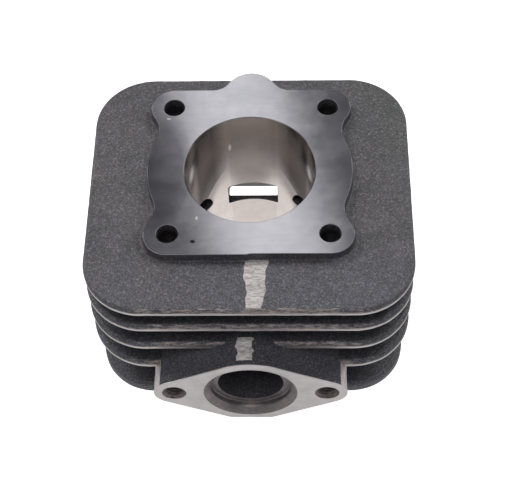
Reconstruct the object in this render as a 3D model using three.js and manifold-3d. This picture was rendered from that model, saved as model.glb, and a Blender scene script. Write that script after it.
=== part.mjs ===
// Barrel of a small air-cooled two-stroke engine: one dark iron casting with a finned body and
// machined head, base and exhaust faces. Millimetres, +Z from the crankcase towards the head,
// -Y towards the exhaust. The casting is given as its named regions, which meet face to face.

import * as THREE from "three";
import { mergeVertices } from "three/addons/utils/BufferGeometryUtils.js";
import Module from "manifold-3d";

const wasm = await Module();
wasm.setup();

// Bore and the levels along its axis, measured down from the head face
const boreRadius = 20;
const deckRise = 2.8;
const finThickness = 2.8;
const airGaps = [5.9, 7.4, 8.1]; // between the fins, from the top down
const baseFaceDepth = 53.4;
const baseFlangeThickness = 4.4;
const spigotLength = 14.6;
const spigotWall = 2.3;

// Fins in plan, measured from the bore axis
const finHalfWidth = 48.9;
const finBackReach = 37.5;
const finFrontReach = 49.1;
const finCornerRadius = 18;
const baseFlangeInset = 1.2;

// Studs, and the machined head face round them
const studOffset = 24.05; // half the square stud pattern
const studHoleRadius = 3.25;
const studColumnRadius = 6.5;
const deckLobeRadius = 7.15;
const deckSideRadius = 31.2;
const deckWaistFillet = 9;
const rearLobeRadius = 8;
const rearLobeReach = 38.3;
const rearLobeFillet = 6;

// Walls of the body
const barrelWall = 6;
const beltWall = 11.2; // the thick lower part, which holds the transfer passages
const webWidth = 8;

// Ports and passages
const portFloorDepth = 42.5; // the piston crown at the bottom of its stroke
const transferRoofDepth = 32.6;
const transferStartAngle = 42; // degrees round the bore from the rear
const transferEndAngle = 104;
const transferSkin = 2.4; // wall between the bore and a passage
const transferWidth = 6.2;
const transferPinchWidth = 4.2; // where the passage goes by a stud
const transferPinchAngle = 62;
const boostRoofDepth = 33.8;
const boostWidth = 16.6;
const boostSkin = 1.4;
const boostReach = 14.2; // from the bore to the passage's rear wall at the base face

// Exhaust flange, a diamond round the outlet
const flangeFaceReach = 57;
const flangeCentreHeight = 16; // above the base face
const flangeHubRadius = 17.2;
const flangeEarRadius = 6.2;
const flangeEarOffset = 23.2;
const flangeThickness = 7;
const tappedHoleRadius = 2.5;
const tappedHoleDepth = 14;
const tappedHoleChamfer = 1;
const outletRadius = 10;
const gasketSeatRadius = 12.1;
const gasketSeatDepth = 3.4;
const mouthRadius = 14.2;
const mouthDepth = 1.7;
const exhaustRoofDepth = 28.4;
const exhaustWindowWidth = 24;

// Clearances and fineness
const seam = 0.3; // where two curved regions meet
const past = 2; // how far a cutter runs past a face
const intoBore = 5; // how far a port's cutter reaches into the bore
const boreSegments = 64;
const smallSegments = 24;
const cornerSegments = 10;
const filletSegments = 5;

// Levels worked out from the values above, with the head face at zero
const topFinTop = -deckRise;
const topFinUnder = topFinTop - finThickness;
const fin2Top = topFinUnder - airGaps[0];
const fin2Under = fin2Top - finThickness;
const fin3Top = fin2Under - airGaps[1];
const fin3Under = fin3Top - finThickness;
const fin4Top = fin3Under - airGaps[2];
const fin4Under = fin4Top - finThickness;
const baseFace = -baseFaceDepth;
const flangeCentreDepth = baseFaceDepth - flangeCentreHeight;
const baseFlangeTop = baseFace + baseFlangeThickness;
const spigotEnd = baseFace - spigotLength;
const barrelRadius = boreRadius + barrelWall;
const beltRadius = boreRadius + beltWall;
const rearLobeCentre = rearLobeReach - rearLobeRadius;
const flangeBackReach = flangeFaceReach - flangeThickness;

const castIron = { color: 0x35353a, roughness: 0.8, metalness: 0.5 };
const machinedIron = { color: 0x8d9097, roughness: 0.4, metalness: 0.8 };
const honedIron = { color: 0x8c837b, roughness: 0.35, metalness: 0.8 };

// Plane outlines

// Points along an arc from one angle to another, both ends included
function arc(x, y, radius, from, to, segments) {
  const points = [];
  for (let i = 0; i <= segments; i += 1) {
    const angle = from + ((to - from) * i) / segments;
    points.push(new THREE.Vector2(x + radius * Math.cos(angle), y + radius * Math.sin(angle)));
  }
  return points;
}

function circle(x, y, radius, segments) {
  return arc(x, y, radius, 0, 2 * Math.PI, segments).slice(0, -1);
}

// Right half of an outline, front to rear, completed with its mirror image
function mirrored(rightHalf) {
  const leftHalf = rightHalf.map((p) => new THREE.Vector2(-p.x, p.y)).reverse();
  const all = [...rightHalf, ...leftHalf];
  return all.filter((p, i) => p.distanceTo(all[(i + all.length - 1) % all.length]) > 1e-4);
}

function finOutline(inset) {
  const x = finHalfWidth - finCornerRadius;
  const radius = finCornerRadius - inset;
  return mirrored([
    ...arc(x, finCornerRadius - finFrontReach, radius, -Math.PI / 2, 0, cornerSegments),
    ...arc(x, finBackReach - finCornerRadius, radius, 0, Math.PI / 2, cornerSegments),
  ]);
}

// Centre of a fillet outside two circles, on their +X side
function filletCentre(a, aRadius, b, bRadius, fillet) {
  const span = a.distanceTo(b);
  const reachA = aRadius + fillet;
  const reachB = bRadius + fillet;
  const along = (span * span + reachA * reachA - reachB * reachB) / (2 * span);
  const across = Math.sqrt(reachA * reachA - along * along);
  const unit = b.clone().sub(a).normalize();
  const foot = a.clone().addScaledVector(unit, along);
  const side = new THREE.Vector2(-unit.y, unit.x);
  return foot.addScaledVector(side, side.x > 0 ? across : -across);
}

// Head face: lobes round the studs, a bulge round the bore on each side, and a lobe at the rear
function deckOutline() {
  const axis = new THREE.Vector2(0, 0);
  const stud = new THREE.Vector2(studOffset, -studOffset);
  const fillet = filletCentre(axis, deckSideRadius, stud, deckLobeRadius, deckWaistFillet);
  const lobeEnd = Math.atan2(fillet.y - stud.y, fillet.x - stud.x);
  const bulgeStart = Math.atan2(fillet.y, fillet.x);
  const front = [
    ...arc(stud.x, stud.y, deckLobeRadius, -Math.PI / 2, lobeEnd, cornerSegments),
    ...arc(fillet.x, fillet.y, deckWaistFillet, lobeEnd + Math.PI, bulgeStart + Math.PI, filletSegments),
    ...arc(0, 0, deckSideRadius, bulgeStart, 0, filletSegments),
  ];
  const rear = front.map((p) => new THREE.Vector2(p.x, -p.y)).reverse();
  const y = studOffset + deckLobeRadius + rearLobeFillet;
  const x = Math.sqrt((rearLobeRadius + rearLobeFillet) ** 2 - (y - rearLobeCentre) ** 2);
  const lobeStart = Math.atan2(y - rearLobeCentre, x);
  return mirrored([
    ...front,
    ...rear,
    ...arc(x, y, rearLobeFillet, -Math.PI / 2, lobeStart - Math.PI, filletSegments),
    ...arc(0, rearLobeCentre, rearLobeRadius, lobeStart, Math.PI / 2, cornerSegments),
  ]);
}

// Exhaust flange round its own centre, x across and y up, grown by an offset
function diamondOutline(offset) {
  const hub = flangeHubRadius + offset;
  const ear = flangeEarRadius + offset;
  const lean = Math.acos((hub - ear) / flangeEarOffset);
  const upper = [
    ...arc(flangeEarOffset, 0, ear, 0, lean, filletSegments),
    ...arc(0, 0, hub, lean, Math.PI / 2, cornerSegments),
  ];
  const lower = upper.map((p) => new THREE.Vector2(p.x, -p.y)).reverse();
  return mirrored([...lower, ...upper]);
}

// Part of a ring round the bore, between two angles counted from the rear towards +X
function sectorOutline(inner, outer, start, end) {
  const from = THREE.MathUtils.degToRad(90 - end);
  const to = THREE.MathUtils.degToRad(90 - start);
  return [
    ...arc(0, 0, outer, from, to, cornerSegments),
    ...arc(0, 0, inner, to, from, cornerSegments),
  ];
}

// Solids

// Plate of an outline with holes, between two exact levels
function plate(outline, holes, low, high) {
  const shape = new THREE.Shape(outline);
  shape.holes = holes.map((points) => new THREE.Path(points));
  const geometry = new THREE.ExtrudeGeometry(shape, { depth: 1, bevelEnabled: false });
  const position = geometry.attributes.position;
  for (let i = 0; i < position.count; i += 1) {
    position.setZ(i, position.getZ(i) > 0.5 ? high : low);
  }
  return geometry;
}

function disc(radius, low, high) {
  return plate(circle(0, 0, radius, boreSegments), [], low, high);
}

function ring(inner, outer, low, high) {
  return plate(circle(0, 0, outer, boreSegments), [circle(0, 0, inner, boreSegments)], low, high);
}

function box(xLow, xHigh, yLow, yHigh, zLow, zHigh) {
  const geometry = new THREE.BoxGeometry(xHigh - xLow, yHigh - yLow, zHigh - zLow);
  geometry.translate((xLow + xHigh) / 2, (yLow + yHigh) / 2, (zLow + zHigh) / 2);
  return geometry;
}

// Prism of an upright outline about the flange's centre, between two reaches towards the front
function frontPrism(outline, farReach, nearReach) {
  const geometry = plate(outline, [], nearReach, farReach);
  geometry.rotateX(Math.PI / 2);
  geometry.translate(0, 0, -flangeCentreDepth);
  return geometry;
}

// Turned hole into the flange face, from [depth below the face, radius] pairs
function turnedIntoFlange(profile, x) {
  const points = profile.map(([depth, radius]) => new THREE.Vector2(radius, depth));
  const geometry = new THREE.LatheGeometry(points, smallSegments * (x === 0 ? 2 : 1));
  geometry.translate(x, -flangeFaceReach, -flangeCentreDepth);
  return geometry;
}

function mouthCutter() {
  return turnedIntoFlange([
    [-past, 0],
    [-past, mouthRadius],
    [0, mouthRadius],
    [mouthDepth, gasketSeatRadius],
    [gasketSeatDepth, gasketSeatRadius],
    [gasketSeatDepth, 0],
  ], 0);
}

function tappedHole(x) {
  const rim = tappedHoleRadius + tappedHoleChamfer;
  return turnedIntoFlange([
    [-past, 0],
    [-past, rim],
    [0, rim],
    [tappedHoleChamfer, tappedHoleRadius],
    [tappedHoleDepth, tappedHoleRadius],
    [tappedHoleDepth + tappedHoleRadius / 2, 0],
  ], x);
}

// Passage lofted from a squared-off oval window in the bore to the round outlet
function exhaustPassage() {
  const steps = 6;
  const around = boreSegments / 2;
  const start = boreRadius - intoBore;
  const end = flangeFaceReach - gasketSeatDepth + seam;
  const halfWidth = exhaustWindowWidth / 2;
  const halfHeight = (portFloorDepth - exhaustRoofDepth) / 2;
  const windowDepth = (portFloorDepth + exhaustRoofDepth) / 2;
  const roundedness = 0.6; // power of the window's outline, where one would be an ellipse
  const positions = [];
  for (let i = 0; i <= steps; i += 1) {
    const share = i / steps;
    const ease = THREE.MathUtils.smoothstep(share, 0, 1);
    const wide = THREE.MathUtils.lerp(halfWidth, outletRadius, ease);
    const tall = THREE.MathUtils.lerp(halfHeight, outletRadius, ease);
    const depth = THREE.MathUtils.lerp(windowDepth, flangeCentreDepth, ease);
    const power = THREE.MathUtils.lerp(roundedness, 1, ease);
    for (let j = 0; j < around; j += 1) {
      const angle = (2 * Math.PI * j) / around;
      const across = Math.sign(Math.cos(angle)) * Math.abs(Math.cos(angle)) ** power;
      const up = Math.sign(Math.sin(angle)) * Math.abs(Math.sin(angle)) ** power;
      positions.push(across * wide, -THREE.MathUtils.lerp(start, end, share), up * tall - depth);
    }
  }
  const indices = [];
  const last = steps * around;
  for (let j = 0; j < around; j += 1) {
    const next = (j + 1) % around;
    for (let i = 0; i < last; i += around) {
      indices.push(i + j, i + next, i + j + around);
      indices.push(i + next, i + next + around, i + j + around);
    }
    if (j > 0 && next > 0) {
      indices.push(0, next, j);
      indices.push(last, last + j, last + next);
    }
  }
  const geometry = new THREE.BufferGeometry();
  geometry.setAttribute("position", new THREE.Float32BufferAttribute(positions, 3));
  geometry.setIndex(indices);
  return geometry;
}

// Boost passage behind the bore: a window, a flat inner wall and a roof that falls to the base
function boostPassage() {
  const low = baseFaceDepth + past;
  const slope = boostReach / (baseFaceDepth - boostRoofDepth);
  const profile = [
    [boreRadius - intoBore, boostRoofDepth],
    [boreRadius, boostRoofDepth],
    [boreRadius + (low - boostRoofDepth) * slope, low],
    [boreRadius + boostSkin, low],
    [boreRadius + boostSkin, portFloorDepth],
    [boreRadius - intoBore, portFloorDepth],
  ];
  const outline = profile.map(([y, depth]) => new THREE.Vector2(y, -depth));
  const geometry = plate(outline, [], -boostWidth / 2, boostWidth / 2);
  geometry.rotateX(Math.PI / 2);
  geometry.rotateZ(Math.PI / 2);
  return geometry;
}

// Transfer passage on the +X side: a window in the bore and a pocket that opens at the base
function transferPassage() {
  const roof = -transferRoofDepth;
  const low = baseFace - past;
  const skin = boreRadius + transferSkin;
  const window = sectorOutline(boreRadius - intoBore, skin + seam, transferStartAngle, transferEndAngle);
  const pinch = sectorOutline(skin, skin + transferPinchWidth, transferStartAngle, transferEndAngle);
  const wide = sectorOutline(skin, skin + transferWidth, transferPinchAngle, transferEndAngle);
  return join([
    plate(window, [], -portFloorDepth, roof),
    plate(pinch, [], low, roof),
    plate(wide, [], low, roof),
  ]);
}

function studHole([sideX, sideY]) {
  const outline = circle(sideX * studOffset, sideY * studOffset, studHoleRadius, smallSegments);
  return plate(outline, [], baseFace - past, past);
}

// Round column about a stud, with a web to the barrel above the belt, grown by an offset
function studColumn([sideX, sideY], offset) {
  const round = circle(sideX * studOffset, sideY * studOffset, studColumnRadius + offset, smallSegments);
  const reach = studOffset * Math.SQRT2;
  const half = webWidth / 2 + offset;
  const web = box(barrelRadius - seam, reach, -half, half, fin3Under + seam - offset, topFinUnder);
  web.rotateZ(Math.atan2(sideY, sideX));
  return join([plate(round, [], baseFlangeTop, topFinUnder), web]);
}

// Rib down the rear, under the deck's rear lobe, grown by an offset
function rearRib(offset) {
  const radius = rearLobeRadius + offset;
  const outline = [
    new THREE.Vector2(-radius, boreRadius),
    new THREE.Vector2(radius, boreRadius),
    ...arc(0, rearLobeCentre, radius, 0, Math.PI, cornerSegments),
  ];
  return plate(outline, [], baseFlangeTop, topFinUnder);
}

function toSolid(geometry) {
  const bare = geometry.clone();
  bare.deleteAttribute("normal");
  bare.deleteAttribute("uv");
  const merged = mergeVertices(bare, 1e-5);
  return new wasm.Manifold(new wasm.Mesh({
    numProp: 3,
    vertProperties: new Float32Array(merged.attributes.position.array),
    triVerts: new Uint32Array(merged.index.array),
  }));
}

function toGeometry(solid) {
  const mesh = solid.getMesh();
  const geometry = new THREE.BufferGeometry();
  geometry.setAttribute("position", new THREE.BufferAttribute(mesh.vertProperties, 3));
  geometry.setIndex(new THREE.BufferAttribute(mesh.triVerts, 1));
  return geometry;
}

function cut(geometry, cutters) {
  return toGeometry(cutters.reduce((solid, cutter) => solid.subtract(toSolid(cutter)), toSolid(geometry)));
}

function join(geometries) {
  return toGeometry(geometries.map(toSolid).reduce((sum, solid) => sum.add(solid)));
}

// Mirror image across the X = 0 plane, with its faces still pointing out
function mirrorX(geometry) {
  const copy = geometry.clone();
  copy.scale(-1, 1, 1);
  const index = copy.index;
  for (let i = 0; i < index.count; i += 3) {
    const first = index.getX(i);
    index.setX(i, index.getX(i + 1));
    index.setX(i + 1, first);
  }
  return copy;
}

// Regions of the casting

const studs = {
  rear_right: [1, 1],
  rear_left: [-1, 1],
  front_left: [-1, -1],
  front_right: [1, -1],
};
const bore = disc(boreRadius, spigotEnd - past, past);
const studHoles = Object.values(studs).map(studHole);
const transferRight = transferPassage();
const transfers = [transferRight, mirrorX(transferRight)];
const boost = boostPassage();
const exhaust = exhaustPassage();
const columnsWithSeam = Object.values(studs).map((stud) => studColumn(stud, seam));
const bodyWithSeam = join([
  disc(barrelRadius + seam, spigotEnd, past),
  disc(beltRadius + seam, spigotEnd, fin3Under + seam),
]);
const flangeFrontWithSeam = -(flangeBackReach + seam);
const casting = new THREE.Group();

function region(name, geometry, finish) {
  geometry.computeVertexNormals();
  const mesh = new THREE.Mesh(geometry, new THREE.MeshStandardMaterial(finish));
  mesh.name = name;
  casting.add(mesh);
}

function addDeckAndTopFin() {
  region("head_deck", cut(plate(deckOutline(), [], topFinTop, 0), [bore, ...studHoles]), machinedIron);
  const lobe = circle(0, rearLobeCentre, rearLobeRadius, 4 * cornerSegments);
  const fin = join([
    plate(finOutline(0), [], topFinUnder, topFinTop),
    plate(lobe, [], topFinUnder, topFinTop),
  ]);
  region("top_fin", cut(fin, [bore, ...studHoles]), castIron);
}

// The second fin is open round the rear rib; the next two are also parted by the exhaust boss
function addLowerFins() {
  const around = [bodyWithSeam, rearRib(seam), ...columnsWithSeam];
  region("fin_2", cut(plate(finOutline(0), [], fin2Under, fin2Top), around), castIron);
  const boss = frontPrism(diamondOutline(seam), flangeFaceReach, 0);
  const wide = finHalfWidth + past;
  const otherHalf = box(-wide, 0, -finFrontReach - past, rearLobeReach + past, spigotEnd, 0);
  const levels = {
    fin_3: [fin3Under, fin3Top],
    fin_4: [fin4Under, fin4Top],
  };
  for (const [name, [under, top]] of Object.entries(levels)) {
    const right = cut(plate(finOutline(0), [], under, top), [...around, boss, otherHalf]);
    region(`${name}_right`, right, castIron);
    region(`${name}_left`, mirrorX(right), castIron);
  }
}

function addBody() {
  region("upper_barrel", cut(ring(boreRadius, barrelRadius, fin3Under, topFinUnder), [exhaust]), honedIron);
  const belt = ring(boreRadius, beltRadius, baseFlangeTop, fin3Under);
  const ports = [exhaust, boost, ...transfers];
  region("transfer_belt", cut(belt, [...ports, ...columnsWithSeam, ...studHoles]), honedIron);
  region("rear_rib", cut(rearRib(0), [bodyWithSeam]), castIron);
  for (const [name, stud] of Object.entries(studs)) {
    const barrelOnly = disc(barrelRadius + seam, spigotEnd, 0);
    region(`stud_column_${name}`, cut(studColumn(stud, 0), [barrelOnly, ...studHoles]), castIron);
  }
}

function addBaseAndSpigot() {
  const flange = plate(finOutline(baseFlangeInset), [], baseFace, baseFlangeTop);
  region("base_flange", cut(flange, [bore, boost, ...transfers, ...studHoles]), castIron);
  region("spigot", ring(boreRadius, boreRadius + spigotWall, spigotEnd, baseFace), machinedIron);
}

function addExhaust() {
  const underBase = box(-finHalfWidth, finHalfWidth, -flangeFaceReach - past, 0, spigotEnd, baseFace);
  const besideBase = box(-finHalfWidth, finHalfWidth, -finFrontReach, 0, spigotEnd, baseFlangeTop);
  const duct = frontPrism(diamondOutline(0), flangeBackReach, studOffset);
  region("exhaust_duct", cut(duct, [
    bodyWithSeam, underBase, besideBase, exhaust, tappedHole(-flangeEarOffset), tappedHole(flangeEarOffset),
    ...columnsWithSeam,
  ]), castIron);
  const flange = frontPrism(diamondOutline(0), flangeFaceReach, flangeBackReach);
  region("exhaust_flange", cut(flange, [
    underBase, mouthCutter(), exhaust, tappedHole(-flangeEarOffset), tappedHole(flangeEarOffset),
  ]), machinedIron);
}

addDeckAndTopFin();
addLowerFins();
addBody();
addBaseAndSpigot();
addExhaust();

// The part stands on the spigot's end, with its origin under the middle of its outline
casting.position.set(0, (flangeFaceReach - rearLobeReach) / 2, -spigotEnd);

export default casting;
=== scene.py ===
import math

import bpy
import numpy as np
from mathutils import Matrix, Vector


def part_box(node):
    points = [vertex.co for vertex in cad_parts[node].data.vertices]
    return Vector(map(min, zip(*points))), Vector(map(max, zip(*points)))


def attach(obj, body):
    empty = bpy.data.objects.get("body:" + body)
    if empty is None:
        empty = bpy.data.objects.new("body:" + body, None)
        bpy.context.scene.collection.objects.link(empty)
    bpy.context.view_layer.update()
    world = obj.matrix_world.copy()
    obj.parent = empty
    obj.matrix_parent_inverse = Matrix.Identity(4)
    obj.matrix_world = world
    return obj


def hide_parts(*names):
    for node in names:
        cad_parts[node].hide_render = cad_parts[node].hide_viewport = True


# Barrel of a small air-cooled two-stroke engine, one dark iron casting with its head, base and
# exhaust faces machined bright. Lengths are in millimetres from the bore axis, heights are from
# the end of the spigot up, and everything is turned into metres when a mesh is made.

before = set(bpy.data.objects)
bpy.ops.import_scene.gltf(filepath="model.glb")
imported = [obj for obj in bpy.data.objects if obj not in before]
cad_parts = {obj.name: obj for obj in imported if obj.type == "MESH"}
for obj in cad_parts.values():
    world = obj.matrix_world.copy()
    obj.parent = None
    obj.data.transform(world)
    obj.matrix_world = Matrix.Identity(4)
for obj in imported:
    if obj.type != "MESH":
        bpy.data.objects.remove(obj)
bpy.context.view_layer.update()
mm = 0.001


def span(*nodes):
    # lowest and highest corner of some frame nodes, in millimetres
    low = np.min([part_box(node)[0] for node in nodes], axis=0) / mm
    high = np.max([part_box(node)[1] for node in nodes], axis=0) / mm
    return low, high


deckLow, deckHigh = span("head_deck")
spigotLow, spigotHigh = span("spigot")
plateLow, plateHigh = span("base_flange")
axisY = (spigotLow[1] + spigotHigh[1]) / 2
headZ = deckHigh[2]
deckFootZ = deckLow[2]
baseZ = plateLow[2]
plateTopZ = plateHigh[2]
finLevels = [
    (low[2], high[2])
    for low, high in (
        span("top_fin"),
        span("fin_2"),
        span("fin_3_right", "fin_3_left"),
        span("fin_4_right", "fin_4_left"),
    )
]
finLow, finHigh = span("top_fin")
print("frame read, head face at", round(float(headZ), 2), "mm")

bore = {
    "radius": 20.0,
    "around": 256,          # facets round every turned surface of the bore
    "edgeBreak": 0.25,      # chamfer at the head face
    "portFloor": headZ - 42.5,
}
studs = {"offset": 24.05, "hole": 3.25, "around": 72, "edgeBreak": 0.12}


def arc(x, y, radius, start, end, steps=24):
    # points (x + r cos a, y + r sin a) for angles a from start to end, in degrees
    a = np.radians(np.linspace(start, end, steps))
    return np.stack([x + radius * np.cos(a), y + radius * np.sin(a)], axis=1)


def evenly(points, count):
    # a closed outline walked at even steps: each coordinate read off against the length so far
    loop = np.vstack([points, points[:1]])
    step = np.linalg.norm(np.diff(loop, axis=0), axis=1)
    keep = np.concatenate([[True], step > 1e-6])
    loop = loop[keep]
    far = np.concatenate([[0], np.cumsum(np.linalg.norm(np.diff(loop, axis=0), axis=1))])
    at = np.linspace(0, far[-1], count, endpoint=False)
    return np.stack([np.interp(at, far, loop[:, 0]), np.interp(at, far, loop[:, 1])], axis=1)


def outward(points):
    # unit normals of a counter-clockwise outline: the chord through both neighbours, turned right
    chord = np.roll(points, -1, axis=0) - np.roll(points, 1, axis=0)
    normal = np.stack([chord[:, 1], -chord[:, 0]], axis=1)
    return normal / np.linalg.norm(normal, axis=1, keepdims=True)


def mirrored(right):
    # a right-hand half from front to rear, closed by its mirror image
    left = right[::-1] * [-1, 1]
    return np.vstack([right, left])


# direction of each wave, direction of the wave that bends it, amount of bend, and phase
swellWaves = [
    ((0.83, 0.41, 0.37), (0.21, -0.47, 0.33), 1.3, 0.0),
    ((-0.36, 0.77, 0.52), (0.39, 0.18, -0.41), 1.7, 2.1),
    ((0.58, -0.29, 0.76), (-0.27, 0.35, 0.22), 1.1, 4.4),
]


def lumps(points, size):
    # slow uneven swell of a sand mould: the mean of three crossed waves of about this wavelength,
    # each the sine of its way along plus a bend by a second sine, -1 to 1
    p = points / size * 2 * math.pi
    total = 0
    for along, across, bend, phase in swellWaves:
        total = total + np.sin(p @ np.array(along) + bend * np.sin(p @ np.array(across)) + phase)
    return total / len(swellWaves)


def shell(points, closeRows=False, capEnds=False):
    # faces of a rows x columns grid of points whose columns close on themselves; the rows either
    # close too, making a ring, or end in flat caps. A shell that encloses less than nothing is
    # inside out, so its faces are turned round
    rows, columns = points.shape[:2]
    index = np.arange(rows * columns).reshape(rows, columns)
    upper = np.roll(index, -1, axis=0) if closeRows else index[1:]
    lower = index if closeRows else index[:-1]
    quads = np.stack(
        [lower, np.roll(lower, -1, axis=1), np.roll(upper, -1, axis=1), upper], axis=-1
    ).reshape(-1, 4)
    flat = points.reshape(-1, 3)
    p, q, r, s = (flat[quads[:, k]] for k in range(4))
    volume = np.einsum("ij,ij->", p, np.cross(q, r)) + np.einsum("ij,ij->", p, np.cross(r, s))
    if capEnds:
        for ring, turn in ((points[0], -1), (points[-1], 1)):
            centre = ring.mean(axis=0)
            volume += turn * np.einsum("j,ij->", centre, np.cross(ring, np.roll(ring, -1, axis=0)))
    faces = quads.tolist()
    if capEnds:
        faces += [index[0][::-1].tolist(), index[-1].tolist()]
    if volume < 0:
        faces = [face[::-1] for face in faces]
    return flat, faces


def solidPiece(name, shells):
    # one object from several closed shells, moved onto the bore axis and into metres
    vertices = []
    faces = []
    start = 0
    for points, corners in shells:
        vertices.append(points)
        faces += [[c + start for c in face] for face in corners]
        start += len(points)
    placed = (np.vstack(vertices) + [0, axisY, 0]) * mm
    mesh = bpy.data.meshes.new(name)
    mesh.from_pydata(placed.tolist(), [], faces)
    mesh.validate()
    piece = bpy.data.objects.new(name, mesh)
    bpy.context.collection.objects.link(piece)
    return piece


def tube(profile, around, x=0.0, y=0.0, phase=0.0):
    # grid turned about an upright line: each (radius, height) pair becomes one circle
    a = np.linspace(0, 2 * math.pi, around, endpoint=False) + phase
    r, z = np.array(profile, float).T
    grid = np.empty((len(r), around, 3))
    grid[:, :, 0] = x + r[:, None] * np.cos(a)
    grid[:, :, 1] = y + r[:, None] * np.sin(a)
    grid[:, :, 2] = z[:, None]
    return grid


def towardsFront(grid, x, z):
    # a turned grid laid over so that its axis points at the exhaust side, through (x, z)
    return np.stack([grid[..., 0] + x, -grid[..., 2], grid[..., 1] + z], axis=-1)


def plateGrid(outline, profile, innerRadius):
    # profile carried round an outline. Each profile row is (inset, blend, height): the outline is
    # drawn in along its normals by the inset, then blended towards the bore circle
    normal = outward(outline)
    angle = np.arctan2(outline[:, 1], outline[:, 0])
    inner = innerRadius * np.stack([np.cos(angle), np.sin(angle)], axis=1)
    inset, blend, height = (v[:, None] for v in np.array(profile, float).T)
    x = (outline[:, 0] - normal[:, 0] * inset) * (1 - blend) + inner[:, 0] * blend
    y = (outline[:, 1] - normal[:, 1] * inset) * (1 - blend) + inner[:, 1] * blend
    return np.stack([x, y, np.broadcast_to(height, x.shape)], axis=-1)


def quarter(inset, height, radius, start, end, steps):
    # (inset, blend, height) rows round an edge of this radius, by angle from level outwards
    a = np.radians(np.linspace(start, end, steps))
    return [(inset + radius * (1 - math.cos(t)), 0.0, height + radius * math.sin(t)) for t in a]


def carve(piece, cutters):
    # takes each cutter out of the piece and keeps the finished mesh
    for cutter in cutters:
        step = piece.modifiers.new("carve", "BOOLEAN")
        step.operation = "DIFFERENCE"
        step.solver = "MANIFOLD"
        step.object = cutter
    graph = bpy.context.evaluated_depsgraph_get()
    carved = bpy.data.meshes.new_from_object(piece.evaluated_get(graph))
    piece.modifiers.clear()
    rough = piece.data
    piece.data = carved
    carved.name = piece.name
    bpy.data.meshes.remove(rough)


def finishPiece(piece, nodes, materials, choose=None, sharp=32):
    # smooth shading with crisp machined edges, a material for each face, and its place in the
    # frame. choose gives each face the number of its material from its centre and its normal
    mesh = piece.data
    mesh.materials.clear()
    for material in materials:
        mesh.materials.append(material)
    if choose is not None:
        count = len(mesh.polygons)
        centre = np.empty(count * 3)
        facing = np.empty(count * 3)
        mesh.polygons.foreach_get("center", centre)
        mesh.polygons.foreach_get("normal", facing)
        centre = centre.reshape(-1, 3) / mm - [0, axisY, 0]
        chosen = choose(centre, facing.reshape(-1, 3))
        mesh.polygons.foreach_set("material_index", chosen.astype(np.int32))
    mesh.shade_smooth()
    mesh.set_sharp_from_angle(angle=math.radians(sharp))
    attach(piece, "root")
    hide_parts(*nodes)
    print(piece.name, len(mesh.polygons), "faces")
    return piece


def vertexPlaces(piece):
    # every vertex in millimetres from the bore axis
    mesh = piece.data
    place = np.empty(len(mesh.vertices) * 3)
    mesh.vertices.foreach_get("co", place)
    return place.reshape(-1, 3) / mm - [0, axisY, 0]


def paint(piece, name, values):
    # one number for each vertex, for the material to read
    layer = piece.data.attributes.new(name, "FLOAT", "POINT")
    layer.data.foreach_set("value", values.astype(np.float32))


def feed(tree, socket, value):
    # a socket takes another node's output or a plain value
    if isinstance(value, bpy.types.NodeSocket):
        tree.links.new(value, socket)
    else:
        socket.default_value = value


def addNode(tree, kind, settings=None, **inputs):
    # one node with its inputs fed by name, an underscore standing for a space
    made = tree.nodes.new(kind)
    for key, value in (settings or {}).items():
        setattr(made, key, value)
    for key, value in inputs.items():
        feed(tree, made.inputs[key.replace("_", " ")], value)
    return made


def sums(tree, operation, *values):
    # one sum, product or other operation on numbers
    made = tree.nodes.new("ShaderNodeMath")
    made.operation = operation
    for socket, value in zip(made.inputs, values):
        feed(tree, socket, value)
    return made.outputs[0]


def times(tree, *values):
    # product of all the values
    product = values[0]
    for value in values[1:]:
        product = sums(tree, "MULTIPLY", product, value)
    return product


def blendColours(tree, share, a, b):
    # colour a where the share is 0, colour b where it is 1
    made = tree.nodes.new("ShaderNodeMix")
    made.data_type = "RGBA"
    feed(tree, made.inputs[0], share)
    feed(tree, made.inputs[6], a)
    feed(tree, made.inputs[7], b)
    return made.outputs[2]


def stretch(tree, value, low, high, toLow=0.0, toHigh=1.0):
    # straight ramp from one range to another, held at both ends
    made = addNode(tree, "ShaderNodeMapRange", {"clamp": True}, Value=value,
                   From_Min=low, From_Max=high, To_Min=toLow, To_Max=toHigh)
    return made.outputs[0]


def grain(tree, where, size, detail=2.0, roughness=0.5):
    # noise whose lumps are about this many millimetres apart
    made = addNode(tree, "ShaderNodeTexNoise", Vector=where, Scale=1 / (size * mm),
                   Detail=detail, Roughness=roughness)
    return made.outputs["Fac"]


def scaled(tree, where, scale):
    # places multiplied axis by axis: a small factor draws a pattern out along that axis
    return addNode(tree, "ShaderNodeMapping", Vector=where, Scale=scale).outputs[0]


def fromBoreAxis(tree, where):
    # x, y and z of the place, with x and y taken from the bore axis
    centred = addNode(tree, "ShaderNodeMapping", Vector=where, Location=(0, -axisY * mm, 0))
    return addNode(tree, "ShaderNodeSeparateXYZ", Vector=centred.outputs[0]).outputs


def spot(tree, across, along, centre, size):
    # small ellipse: the squares of both distances over the half sizes are summed, and the share
    # falls from 1 to 0 round the place where the sum is 1
    total = 0.0
    for place, middle, reach in zip((across, along), centre, size):
        away = sums(tree, "DIVIDE", sums(tree, "SUBTRACT", place, middle * mm), reach * mm)
        total = sums(tree, "ADD", total, times(tree, away, away))
    return stretch(tree, total, 1.3, 0.5)


def bump(tree, height, strength, distance, under=None):
    # relief this many millimetres deep, laid over another relief where one is given
    made = addNode(tree, "ShaderNodeBump", Height=height, Strength=strength, Distance=distance * mm)
    if under is not None:
        tree.links.new(under, made.inputs["Normal"])
    return made.outputs[0]


def startMaterial(name):
    # an empty metal and the place on the casting that its patterns are read from
    material = bpy.data.materials.new(name)
    material.use_nodes = True
    tree = material.node_tree
    where = addNode(tree, "ShaderNodeTexCoord").outputs["Object"]
    return material, tree, where


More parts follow.
